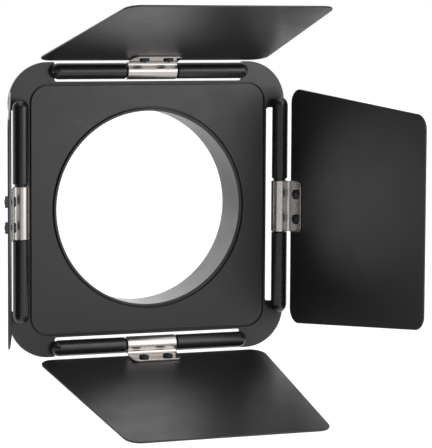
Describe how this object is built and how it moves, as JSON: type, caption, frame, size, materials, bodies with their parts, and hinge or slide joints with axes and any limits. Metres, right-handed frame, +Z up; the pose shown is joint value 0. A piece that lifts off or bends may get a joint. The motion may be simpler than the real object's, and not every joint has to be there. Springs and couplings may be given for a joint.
{
  "type": "barndoor light modifier",
  "caption": "Square black lamp barndoor: a plate with a round bore and rear collar, and trapezoidal leaves that swing on round hinge bars.",
  "frame": {"origin": "centre of the collar's rear mouth, where the lamp's barrel enters", "axes": "+Z up, +Y towards the lamp along the collar, -Y along the light, +X to the right seen from in front of the lamp's user, looking along +Y"},
  "size_m": [0.1804, 0.1259, 0.1762],
  "materials": {
    "satin_black": "fine satin black powder coat",
    "leaf_black": "matt black powder coat on thin sheet",
    "bar_black": "semi-gloss black paint",
    "nickel": "bright nickel-plated spring steel",
    "dark_zinc": "black zinc-plated fasteners"
  },
  "bodies": {
    "plate_and_collar": {"frame_plate": "satin_black", "front_panel": "satin_black", "collar_tube": "satin_black", "collar_rivet_1": "dark_zinc", "collar_rivet_2": "dark_zinc", "collar_rivet_3": "dark_zinc", "collar_rivet_4": "dark_zinc", "hinge_bar_top": "bar_black", "hinge_bar_right": "bar_black", "hinge_bar_bottom": "bar_black", "hinge_bar_left": "bar_black", "bar_screw_right_1": "dark_zinc", "bar_screw_right_2": "dark_zinc", "bar_screw_left_1": "dark_zinc", "bar_screw_left_2": "dark_zinc"},
    "leaf_assembly_top": {"hinge_clip_top": "nickel", "leaf_top": "leaf_black", "clamp_screw_top_1": "dark_zinc", "clamp_screw_top_2": "dark_zinc", "clamp_nut_top_1": "dark_zinc", "clamp_nut_top_2": "dark_zinc"},
    "leaf_assembly_right": {"hinge_clip_right": "nickel", "leaf_right": "leaf_black", "clamp_screw_right_1": "dark_zinc", "clamp_screw_right_2": "dark_zinc", "clamp_nut_right_1": "dark_zinc", "clamp_nut_right_2": "dark_zinc"},
    "leaf_assembly_bottom": {"hinge_clip_bottom": "nickel", "leaf_bottom": "leaf_black", "clamp_screw_bottom_1": "dark_zinc", "clamp_screw_bottom_2": "dark_zinc", "clamp_nut_bottom_1": "dark_zinc", "clamp_nut_bottom_2": "dark_zinc"},
    "leaf_assembly_left": {"hinge_clip_left": "nickel", "leaf_left": "leaf_black", "clamp_screw_left_1": "dark_zinc", "clamp_screw_left_2": "dark_zinc", "clamp_nut_left_1": "dark_zinc", "clamp_nut_left_2": "dark_zinc"}
  },
  "joints": [
    {"name": "hinge_top", "type": "hinge", "parent": "plate_and_collar", "child": "leaf_assembly_top", "pos_m": [0, -0.0218, 0.061], "axis": [-1, 0, 0], "range_deg": [-105.7, 59.3]},
    {"name": "hinge_right", "type": "hinge", "parent": "plate_and_collar", "child": "leaf_assembly_right", "pos_m": [0.061, -0.0254, 0], "axis": [0, 0, 1], "range_deg": [-98.1, 78.4]},
    {"name": "hinge_bottom", "type": "hinge", "parent": "plate_and_collar", "child": "leaf_assembly_bottom", "pos_m": [0, -0.0218, -0.061], "axis": [1, 0, 0], "range_deg": [-100.9, 61.6]},
    {"name": "hinge_left", "type": "hinge", "parent": "plate_and_collar", "child": "leaf_assembly_left", "pos_m": [-0.061, -0.0254, 0], "axis": [0, 0, -1], "range_deg": [-90.6, 72]}
  ]
}
